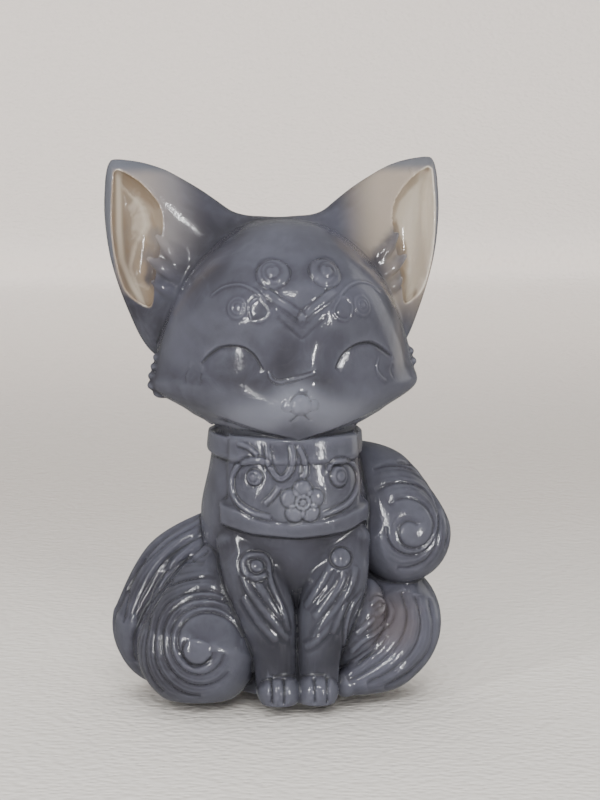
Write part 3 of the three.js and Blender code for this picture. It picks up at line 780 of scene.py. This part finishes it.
HAUNCH_LEAF = [
    [[8.2, 13.0], [6.8, 11.6], [6.0, 9.2], [6.1, 5.8]],
    [[11.7, 11.0], [12.2, 9.8], [11.6, 8.6], [10.0, 7.8], [8.2, 7.0], [6.8, 5.6]],
    [[9.8, 9.7], [8.6, 8.9], [7.4, 7.9]],
    [[11.7, 8.0], [10.1, 6.2], [8.3, 5.0], [6.6, 3.6]],
    [[9.3, 11.3], [10.3, 11.8], [11.3, 11.0], [10.9, 10.2], [9.7, 10.2]],
]
LEG_BALL = [5.5, 17.3]
TOE_CUTS = [-3.1, -1.5, 2.0, 3.7]

# %% Carve the legs, haunch and toes
raise_bands([LEG_CURL], 0.16, 0.3, edge=0.2)
raise_bands(LEG_FLAMES, 0.15, 0.34, edge=0.3, fade=0.4)
raise_bands(HAUNCH_LEAF, 0.18, 0.24, edge=0.2, fade=0.3)
raise_boss(LEG_BALL, 1.25, 0.35, rings=(1.3,), ring_depth=0.14, ring_width=0.16)
raise_boss([-4.5, 16.6], 0.8, 0.2)
cut_grooves([[[x, 3.4], [x, 2.0], [x, 0.3]] for x in TOE_CUTS], 0.45, 0.2)
print("legs: deepest cut", round(float(-stone.push.min()), 2))

# %% Tails
LOW_LEFT_MIDDLE = [-11.8, 6.8]
LOW_LEFT_LOCKS = [
    [80, 9.7, 6.3, 210, 7.2],
    [62, 7.4, 5.3, 262, 6.0],
    [40, 6.4, 3.6, 340, 4.3],
    [10, 5.8, 2.0, 363, 1.9],
]
HIGH_RIGHT_MIDDLE = [14.5, 19.7]
HIGH_RIGHT_LOCKS = [
    [99, 7.5, 5.4, -31, 5.2],
    [121, 7.9, 3.8, -110, 4.9],
    [132, 5.9, 3.3, -189, 3.1],
    [132, 3.9, 2.1, -326, 1.0],
]
LOW_RIGHT_INNER = [[13.6, 11.9], [14.2, 9.6], [13.5, 7.3], [11.6, 5.2], [8.6, 3.3], [6.4, 2.4]]
LOW_RIGHT_OUTER = [[17.2, 10.8], [17.8, 7.5], [17.1, 4.7], [14.6, 2.6], [11.0, 1.0]]
BACK_LEFT_INNER = [[-9.6, 17.4], [-12.2, 15.8], [-14.9, 13.2], [-17.0, 10.2]]
BACK_LEFT_OUTER = [[-10.0, 19.8], [-13.6, 18.0], [-16.7, 15.2], [-18.8, 11.4], [-19.6, 8.0]]
KNOB_RADIUS = 1.75
knob_angles = np.radians(np.linspace(125, 345, 14))
KNOB = [on_ring(LOW_LEFT_MIDDLE, KNOB_RADIUS, angle) for angle in knob_angles]

# %% Carve the tails: deep grooves, and shallow ones between them
LOCK_DEPTH = 0.34
LOCK_WIDTH = 0.36
FINE_DEPTH = 0.08
FINE_WIDTH = 0.15
cut_grooves(curled(LOW_LEFT_MIDDLE, LOW_LEFT_LOCKS, 6), LOCK_DEPTH, LOCK_WIDTH)
cut_grooves(curled(HIGH_RIGHT_MIDDLE, HIGH_RIGHT_LOCKS, 4), LOCK_DEPTH, LOCK_WIDTH)
cut_grooves(between(LOW_RIGHT_INNER, LOW_RIGHT_OUTER, 3), 0.42, 0.5)
cut_grooves(between(BACK_LEFT_INNER, BACK_LEFT_OUTER, 3), LOCK_DEPTH, LOCK_WIDTH)
for lines in (
    curled(LOW_LEFT_MIDDLE, LOW_LEFT_LOCKS, 16),
    curled(HIGH_RIGHT_MIDDLE, HIGH_RIGHT_LOCKS, 10),
    between(LOW_RIGHT_INNER, LOW_RIGHT_OUTER, 9),
    between(BACK_LEFT_INNER, BACK_LEFT_OUTER, 9),
):
    cut_grooves(lines, FINE_DEPTH, FINE_WIDTH, fade=0.3)
cut_grooves([KNOB], 0.55, 0.26, fade=0.4)
raise_boss(LOW_LEFT_MIDDLE, 1.7, 0.12)
print("tails: deepest cut", round(float(-stone.push.min()), 2))
stone.apply()

# %% A short crack in the right ear, from its upper edge to its hollow
EAR_CRACK = [[15.9, 62.2], [16.1, 61.8], [16.2, 61.4], [16.6, 60.9]]
cut_grooves([EAR_CRACK], 0.2, 0.12, fade=0.3)
stone.apply()

# %% [markdown]
# ## Finishing the mesh
# The underside is ground flat by flattening everything below the ground plane onto it. Decimate
# then spends the faces where the carving is, so the piece stays light, and the whole is brought
# from millimetres to metres.

# %% Flat underside, fewer faces, metres
MOST_TRIANGLES = 195000
points = stone.points.copy()
points[:, 2] = np.maximum(points[:, 2], 0)
skin.vertices.foreach_set("co", points.astype(np.float32).ravel())
skin.update()
triangles = sum(len(face.vertices) - 2 for face in skin.polygons)
ratio = min(1.0, MOST_TRIANGLES / triangles)
fox_mesh = applied(skin, ("DECIMATE", {"decimate_type": "COLLAPSE", "ratio": ratio}))
fox_mesh.transform(Matrix.Scale(MM, 4))
fox_mesh.shade_smooth()
fox = bpy.data.objects.new("agate_fox_carved", fox_mesh)
bpy.context.scene.collection.objects.link(fox)
print("triangles:", triangles, "then", sum(len(face.vertices) - 2 for face in fox_mesh.polygons))

# %% [markdown]
# ## How thick, how deep
# Two things about agate depend on the shape: light passes where it is thin, and ridges look pale
# and grooves dark. The colour paints both, as light shining through thin parts and as a painted
# highlight on ridges and painted shade in grooves. Rays shot inwards measure the first, and the
# second is how far a point lies above or below a blurred copy of the surface. Both are kept as
# attributes, so the material can read them and they move with the mesh. Six more attributes say
# where the carver hollowed the ears, where the stone is milky or has painted floor light and
# painted shade, and where daylight shining through is painted warm.


# %% Arrays of the finished mesh, and two helpers
points = read_vectors(fox_mesh.vertices, "co")
normals = read_vectors(fox_mesh.vertex_normals, "vector")
edges = read_edges(fox_mesh)
x, y, z = (points / MM).T


def evened(values, times):
    """One value a point, averaged with its neighbours' again and again."""
    return blurred(values[:, None], edges, times)[:, 0]


def keep_attribute(name, values):
    attribute = fox_mesh.attributes.new(name, "FLOAT", "POINT")
    attribute.data.foreach_set("value", values.astype(np.float32))
    print(name, "from", values.min().round(3), "to", values.max().round(3))


# %% Thin: rays shot inwards
THICK = 7.0 * MM  # light gets through less stone than this
START_DEPTH = 0.05 * MM
fox_tree = ray_tree(fox_mesh, points)
thickness = np.full(len(points), THICK)
for k, (place, normal) in enumerate(zip(points - normals * START_DEPTH, normals)):
    hit = fox_tree.ray_cast(Vector(place), Vector(-normal), THICK)
    if hit[0] is not None:
        thickness[k] = hit[3]
keep_attribute("thin", np.clip(evened(1 - thickness / THICK, 8), 0, 1))


# %% Relief and worked: how far the surface is from a blurred copy of itself
def height_above_blur(times, unit):
    return ((points - blurred(points, edges, times)) * normals).sum(1) / unit


fine = height_above_blur(10, 0.06 * MM)
broad = height_above_blur(60, 0.25 * MM)
relief = np.clip(0.5 + 0.25 * fine + 0.1 * broad, 0, 1)
# the relief is set to 0.5 on the ears, so they get no painted groove shade or ridge highlight
even_ear = ramp(from_ear_join(x, z), -1, 0) * ramp(z, 44, 46)  # the ears have an even colour
even_ear *= 1 - spot(x, z, [16.2, 61.5], [0.6, 0.8], power=4)  # apart from the crack
keep_attribute("relief", relief + (0.5 - relief) * even_ear)
keep_attribute("worked", np.clip(evened(np.abs(fine), 6), 0, 1))

# %% Hollow: the insides of the ears, fainter on the tufts
HOLLOW_EDGE = 0.3
hollow_trees = []
for spread in EAR_SPREADS:
    form = leaf_form(EAR_HOLLOW_STRIPS, spread)
    hollow_trees.append(BVHTree.FromBMesh(form))
    form.free()
hollow = np.zeros(len(points))
for k in np.nonzero((z > 44) & (np.abs(x) > 12))[0]:
    off = min(tree.find_nearest(Vector((x[k], y[k], z[k])))[3] for tree in hollow_trees)
    hollow[k] = max(0, 1 - off / HOLLOW_EDGE)

tufted = np.zeros(len(points))
for root, tip in TUFT_LINES:
    off = off_segment(np.stack((x, z), 1), np.array(root), np.array(tip))
    tufted = np.maximum(tufted, ramp(off, 1.32, 0.72))
tufted = evened(tufted, 6)
keep_attribute("hollow", evened(hollow, 3) * (1 - 0.8 * tufted))

# %% Rim and inside: the ears' edge, and the pale strip, ridge and brown part in their hollows
STRIP = [[46.0, 16.2], [48.0, 17.3], [51.0, 18.5], [55.0, 18.8]]  # [z, x] on an ear of spread 1
RIDGE_LINE = [[46.6, 16.3], [50.1, 17.5], [52.4, 16.9], [55.3, 15.5], [57.7, 16.2], [60.2, 18.6]]
ear_reach = x / np.where(x < 0, *EAR_SPREADS)
at_rim = np.maximum(ramp(ear_reach, 19.2, 19.8), ramp(z, 61.2, 62.6))
keep_attribute("rim", at_rim * ramp(z, 44, 47))
strip_off = ear_reach - np.interp(z, *zip(*STRIP))
ridge_off = ear_reach - np.interp(z, *zip(*RIDGE_LINE))
pale_lines = np.maximum(peak(strip_off, 0, 0.4), 0.6 * peak(ridge_off, 0, 0.35))
in_brown = 0.9 * ramp(ridge_off, -0.2, -1.0)
keep_attribute("inside", np.clip(0.5 + 0.5 * (pale_lines - in_brown), 0, 1))

# %% Warm: painted light, where daylight shines through the ears and the edges of the head and the bib
right_ear = (1 - 0.75 * tufted) * ramp(x, 6.5, 12.5) * ramp(y, -3, 1)
right_ear *= ramp(z + 0.6 * (x - 12), 44, 52)
left_ear = 0.55 * ramp(-x, 8, 16) * ramp(z, 48, 54)
head_edge = 0.3 * peak(x, 13.2, 1.1) * ramp(z, 37, 40) * ramp(z, 54, 50)
bib_edge = 0.3 * peak(x, 8.4, 0.9) * ramp(z, 23, 26) * ramp(z, 32, 30)
keep_attribute("warm", np.clip(right_ear + left_ear + bib_edge + head_edge, 0, 1))

# %% Milk and painted shading, 0.5 where there is neither: pale and dark spots of the stone and a paler left ear, painted floor light on the muzzle, and painted shade on the legs
MILK_SPOTS = [  # (middle, reach, how pale, on the front alone), and below 0 is dark
    ([0.8, 23.5], [4.5, 3.0], 0.7, True),  # the flower
    ([-12.5, 7.0], [5.5, 5.5], 0.1, True),  # the low left tail
    ([15.0, 20.0], [5.0, 6.0], 0.1, False),  # the high right tail
    ([16.0, 6.0], [3.5, 4.0], 0.25, False),  # the low right tail
    ([-13.0, 14.0], [5.0, 3.5], -0.6, False),  # the tail behind it on the left
]
in_front = ramp(-y, 1, 6)
# painted light: the muzzle is made paler, as the pale floor lights it from below
muzzle = peak(z, 34.0 + 2.4 * peak(x, 0, 3.0), 2.8) * np.exp(-(((x - 0.4) / 10.0) ** 4))
milk_and_painted_shading = muzzle * in_front + 0.5 * ramp(-x, 9, 13) * ramp(z, 49, 54)  # and the left ear
for middle, reach, share, front_alone in MILK_SPOTS:
    milk_and_painted_shading += share * spot(x, z, middle, reach) * (in_front if front_alone else 1)
# painted shade: the front of the legs is made darker, as little light reaches them, less so at
# their top
painted_leg_shade = spot(x, z, [0.3, 10.0], [7.5, 9.5], power=4) * in_front
milk_and_painted_shading -= painted_leg_shade * (1 - 0.8 * spot(x, z, [0.4, 17.0], [3.0, 3.5]))
keep_attribute("milk_and_painted_shading", np.clip(0.5 + 0.5 * milk_and_painted_shading, 0, 1))


# %% [markdown]
# ## The stone
# Agate is quartz, so it has quartz's index of refraction and a glassy polish. Its colour comes
# from clouds and faint bands inside it, with painted light where it is thin or lit through, painted
# floor light on the muzzle, a painted highlight on ridges and painted shade in grooves and on the
# legs. Light scatters under the surface, so the shader's subsurface is on, with a short reach.
# The ears' hollows are cream with crystal patches.


# %% A helper that places a node
def node(tree, kind, inputs=None, **settings):
    """Adds a node. Inputs are given by name or number, as a value or as another node's output."""
    made = tree.nodes.new(kind)
    for key, value in settings.items():
        setattr(made, key, value)
    for key, value in (inputs or {}).items():
        if isinstance(value, bpy.types.NodeSocket):
            tree.links.new(value, made.inputs[key])
        else:
            made.inputs[key].default_value = value
    return made


def new_material(name):
    material = bpy.data.materials.new(name)
    material.use_nodes = True
    return material, material.node_tree, material.node_tree.nodes["Principled BSDF"]


def mix_colour(tree, share, first, second):
    inputs = {0: share, 6: first, 7: second}
    return node(tree, "ShaderNodeMix", inputs, data_type="RGBA").outputs[2]


def calculated(tree, operation, first, second):
    return node(tree, "ShaderNodeMath", {0: first, 1: second}, operation=operation).outputs[0]


def spread_out(tree, value, low, high, to_low=0.0, to_high=1.0):
    """Maps low..high to another range, smoothly and without going past it."""
    inputs = {
        "Value": value, "From Min": low, "From Max": high, "To Min": to_low, "To Max": to_high,
    }
    return node(tree, "ShaderNodeMapRange", inputs, interpolation_type="SMOOTHSTEP").outputs[0]


def layered(tree, colour, layers):
    """Lays colours over one another. Each row gives what is read, from where to where, the share
    of the new colour at both ends of that range, and the colour."""
    for value, low, high, at_low, at_high, over in layers:
        share = spread_out(tree, value, low, high, at_low, at_high)
        colour = mix_colour(tree, share, colour, over)
    return colour


# %% Colours of the stone, and of its painted light and shade
DEEP = (0.036, 0.035, 0.044, 1)
MILKY = (0.076, 0.077, 0.099, 1)
# pale stone in the wisps, and the painted highlight on ridges
RIDGE = (0.112, 0.116, 0.142, 1)
# pale stone, and the painted floor light on the muzzle
PALE_STONE_AND_FLOOR_LIGHT = (0.200, 0.207, 0.246, 1)
# painted shade in the grooves and on the legs, and the dark spots of the stone
GROOVE = (0.021, 0.021, 0.026, 1)
# painted light: the warm colour of daylight shining through thin stone
WARM_LIGHT_THROUGH = (0.335, 0.284, 0.230, 1)
CREAM = (0.250, 0.200, 0.152, 1)
CRYSTAL = (0.72, 0.665, 0.565, 1)
RIM_BLUE = (0.080, 0.092, 0.118, 1)
MILK_CREAM = (0.52, 0.46, 0.375, 1)
BROWN = (0.25, 0.185, 0.125, 1)
RUST = (0.135, 0.098, 0.080, 1)

# %% What the stone reads
READ_ATTRIBUTES = ("thin", "relief", "hollow", "warm", "milk_and_painted_shading", "rim", "inside", "worked")
NOISES = {  # scale, detail, distortion
    "clouds": (70.0, 4.0, 0.6),
    "wisps": (320.0, 6.0, 1.2),
    "patches": (210.0, 3.0, 0.8),
    "grain": (3200.0, 2.0, 0.0),
    "polish": (450.0, 3.0, 0.0),
}
agate, tree, shader = new_material("agate")
place = node(tree, "ShaderNodeTexCoord").outputs["Object"]
reads = {}
for name in READ_ATTRIBUTES:
    reads[name] = node(tree, "ShaderNodeAttribute", attribute_name=name).outputs["Fac"]
for name, (scale, detail, distortion) in NOISES.items():
    inputs = {"Vector": place, "Scale": scale, "Detail": detail, "Distortion": distortion}
    reads[name] = node(tree, "ShaderNodeTexNoise", inputs).outputs[0]
print("the stone reads:", ", ".join(reads))

# %% Colour: the stone with its painted light and shade, the ears' hollows, and a rusty patch low on the right
STONE_LAYERS = [
    (reads["clouds"], 0.35, 0.68, 0.0, 1.0, MILKY),
    (reads["wisps"], 0.45, 0.75, 0.0, 0.20, RIDGE),
    # above 0.5: pale spots of the stone, and painted floor light on the muzzle
    (reads["milk_and_painted_shading"], 0.5, 1.0, 0.0, 0.65, PALE_STONE_AND_FLOOR_LIGHT),
    # below 0.5: dark spots of the stone, and painted shade on the legs
    (reads["milk_and_painted_shading"], 0.0, 0.5, 0.6, 0.0, GROOVE),
    # painted highlight: raised ridges are made paler
    (reads["relief"], 0.5, 0.95, 0.0, 0.45, RIDGE),
    # painted shade: grooves are made darker
    (reads["relief"], 0.05, 0.48, 0.75, 0.0, GROOVE),
    # painted light: thin parts are warmed, as daylight shines through them
    (reads["thin"], 0.45, 0.95, 0.0, 0.25, WARM_LIGHT_THROUGH),
    # painted light: daylight shining through the ears and the edges of the head and the bib
    (reads["warm"], 0.0, 1.0, 0.0, 0.8, WARM_LIGHT_THROUGH),
    (reads["rim"], 0.0, 1.0, 0.0, 0.8, RIM_BLUE),
]
HOLLOW_LAYERS = [
    (reads["patches"], 0.36, 0.5, 0.7, 0.0, BROWN),
    (reads["patches"], 0.56, 0.68, 0.0, 0.35, CRYSTAL),
    # painted light: paler crystal in the hollow where daylight shines through the ear
    (reads["warm"], 0.6, 1.0, 0.0, 0.55, CRYSTAL),
    (reads["inside"], 0.5, 1.0, 0.0, 0.9, MILK_CREAM),
    (reads["inside"], 0.0, 0.5, 0.6, 0.0, BROWN),
]
PATCH_PLACE = (12.4 * MM, -7.4 * MM, 9.4 * MM)
offset = node(tree, "ShaderNodeVectorMath", {0: place, 1: PATCH_PLACE}, operation="DISTANCE")
ragged_edge = calculated(tree, "MULTIPLY", reads["wisps"], 3.0 * MM)
patch_reach = calculated(tree, "SUBTRACT", offset.outputs["Value"], ragged_edge)
stone_colour = layered(tree, DEEP, STONE_LAYERS)
hollow_colour = layered(tree, CREAM, HOLLOW_LAYERS)
LAST_LAYERS = [
    (reads["hollow"], 0.15, 0.75, 0.0, 0.9, hollow_colour),
    (patch_reach, 0.0, 4.0 * MM, 0.3, 0.0, RUST),
]
tree.links.new(layered(tree, stone_colour, LAST_LAYERS), shader.inputs["Base Color"])

# %% Polish: glossy ridges, duller grooves, and a fine grain where a tool has been
grain_share = spread_out(tree, reads["worked"], 0.1, 0.7, 0.1, 1.0)
grain_height = calculated(tree, "MULTIPLY", reads["grain"], grain_share)
inputs = {"Height": grain_height, "Strength": 0.4, "Distance": 0.06 * MM}
grain_bump = node(tree, "ShaderNodeBump", inputs).outputs[0]
inputs = {"Height": reads["polish"], "Strength": 0.2, "Distance": 0.15 * MM, "Normal": grain_bump}
polish_bump = node(tree, "ShaderNodeBump", inputs).outputs[0]
tree.links.new(polish_bump, shader.inputs["Normal"])
roughness = spread_out(tree, reads["relief"], 0.1, 0.5, 0.32, 0.12)
tree.links.new(roughness, shader.inputs["Roughness"])
STONE_SURFACE = {
    "IOR": 1.54,
    "Subsurface Weight": 0.65,
    "Subsurface Radius": (1.0, 0.95, 1.05),
    "Subsurface Scale": 2.6 * MM,
}
for socket, value in STONE_SURFACE.items():
    shader.inputs[socket].default_value = value
print("material nodes:", len(tree.nodes))

# %% The fox takes the CAD solid's place
fox_mesh.materials.clear()
fox_mesh.materials.append(agate)
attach(fox, "root")
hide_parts("agate_fox")

# %% [markdown]
# ## Floor, light and camera
# The photograph was taken on a pale sheet by soft daylight. A seamless sweep gives a floor that
# turns into a backdrop without a line, and a few softboxes give the long highlights on the polish.

# %% A seamless sweep
SWEEP_WIDTH = 2.4
SWEEP_STEPS = 84
SWEEP = [  # [y, z] in metres, from the front to the top
    [-1.9, 0.0], [-0.9, 0.0], [0.25, 0.0], [0.42, 0.02], [0.52, 0.09], [0.58, 0.22], [0.60, 1.1],
]
sweep_form = bmesh.new()
profile = [smooth_row(SWEEP, i / SWEEP_STEPS) for i in range(SWEEP_STEPS + 1)]
first = [sweep_form.verts.new((-SWEEP_WIDTH / 2, *place)) for place in profile]
lines = [sweep_form.edges.new(pair) for pair in zip(first, first[1:])]
made = bmesh.ops.extrude_edge_only(sweep_form, edges=lines)
across = [item for item in made["geom"] if isinstance(item, bmesh.types.BMVert)]
bmesh.ops.translate(sweep_form, verts=across, vec=(SWEEP_WIDTH, 0, 0))
bmesh.ops.recalc_face_normals(sweep_form, faces=sweep_form.faces)
sweep_mesh = mesh_of(sweep_form, "sweep")
sweep_mesh.shade_smooth()
sweep = bpy.data.objects.new("sweep", sweep_mesh)
bpy.context.scene.collection.objects.link(sweep)
print("faces of the sweep:", len(sweep_mesh.polygons))

# %% The pale sheet: its own colour near the fox, painted shade on the floor behind it, and painted light where it turns up into the wall
paper, paper_tree, paper_shader = new_material("pale_sheet")
FLOOR_COLOUR = (0.685, 0.65, 0.605, 1)
FLOOR_SHADE_COLOUR = (0.565, 0.52, 0.48, 1)
WALL_LIGHT_COLOUR = (0.93, 0.85, 0.785, 1)
sheet_place = node(paper_tree, "ShaderNodeTexCoord").outputs["Object"]
sheet_depth = node(paper_tree, "ShaderNodeSeparateXYZ", {0: sheet_place}).outputs["Y"]
SHEET_LAYERS = [
    # painted shade: the floor is made darker behind the fox
    (sheet_depth, 0.02, 0.14, 0.0, 1.0, FLOOR_SHADE_COLOUR),
    # painted light: the sheet is made paler where it turns up into the wall
    (sheet_depth, 0.16, 0.42, 0.0, 1.0, WALL_LIGHT_COLOUR),
]
sheet_colour = layered(paper_tree, FLOOR_COLOUR, SHEET_LAYERS)
paper_tree.links.new(sheet_colour, paper_shader.inputs["Base Color"])
inputs = {"Vector": sheet_place, "Scale": 900.0}
pebbles = node(paper_tree, "ShaderNodeTexVoronoi", inputs, feature="SMOOTH_F1").outputs[0]
inputs = {"Height": pebbles, "Strength": 0.6, "Distance": 0.6 * MM}
pebble_bump = node(paper_tree, "ShaderNodeBump", inputs).outputs[0]
paper_tree.links.new(pebble_bump, paper_shader.inputs["Normal"])
paper_shader.inputs["Roughness"].default_value = 0.7
sweep_mesh.materials.append(paper)
sweep.visible_glossy = False  # the polish mirrors the strips and the room alone


# %% Softboxes and room light
CHEST = Vector((0, 0, 0.035))


def softbox(name, place, size, watts, mirrored_in_stone):
    """A rectangular light aimed at the chest. A fill light isn't mirrored in the polish."""
    data = bpy.data.lights.new(name, "AREA")
    data.shape = "RECTANGLE"
    data.size, data.size_y = size
    data.energy = watts
    box = bpy.data.objects.new(name, data)
    box.location = place
    box.rotation_mode = "QUATERNION"
    box.rotation_quaternion = (CHEST - Vector(place)).to_track_quat("-Z", "Y")
    box.visible_glossy = mirrored_in_stone
    bpy.context.scene.collection.objects.link(box)


SOFTBOXES = [  # (name, place, size, watts, is it mirrored in the polish)
    ("left_strip", (-0.334, -0.358, 0.19), (0.018, 0.34), 1.5, True),
    ("right_strip", (0.31, -0.39, 0.075), (0.024, 0.13), 0.9, True),
    ("top_strip", (0.0, -0.38, 0.33), (0.05, 0.02), 0.25, True),
    ("rim", (0.34, 0.16, 0.14), (0.15, 0.30), 0.12, True),
    ("room_front", (-0.10, -0.75, 0.40), (0.5, 0.4), 7.0, False),
    ("ceiling", (0.0, 0.15, 0.8), (0.8, 0.8), 5.6, False),
]
for row in SOFTBOXES:
    softbox(*row)
print("softboxes:", len(SOFTBOXES))

world = bpy.data.worlds.new("room")
world.use_nodes = True
world.node_tree.nodes["Background"].inputs["Color"].default_value = (0.80, 0.80, 0.80, 1)
world.node_tree.nodes["Background"].inputs["Strength"].default_value = 0.27
bpy.context.scene.world = world

# %% The camera, at the photograph's viewing angle
AZIMUTH, ELEVATION = math.radians(-7), math.radians(8)
DISTANCE = 0.42
VIEW_CENTRE = Vector((0.0019, 0, 0.0347))
HALF_HEIGHT = 0.048  # half the height of the picture, where the fox stands
level = Vector((math.sin(AZIMUTH), -math.cos(AZIMUTH), 0))
back = level * math.cos(ELEVATION) + UP * math.sin(ELEVATION)
lens = bpy.data.cameras.new("camera")
lens.lens = lens.sensor_width / 2 * DISTANCE / HALF_HEIGHT
lens.clip_start, lens.clip_end = 0.01, 10
camera = bpy.data.objects.new("camera", lens)
camera.location = VIEW_CENTRE + back * DISTANCE
camera.rotation_mode = "QUATERNION"
camera.rotation_quaternion = (-back).to_track_quat("-Z", "Y")
bpy.context.scene.collection.objects.link(camera)
bpy.context.scene.camera = camera
print("focal length in mm:", round(lens.lens, 1))
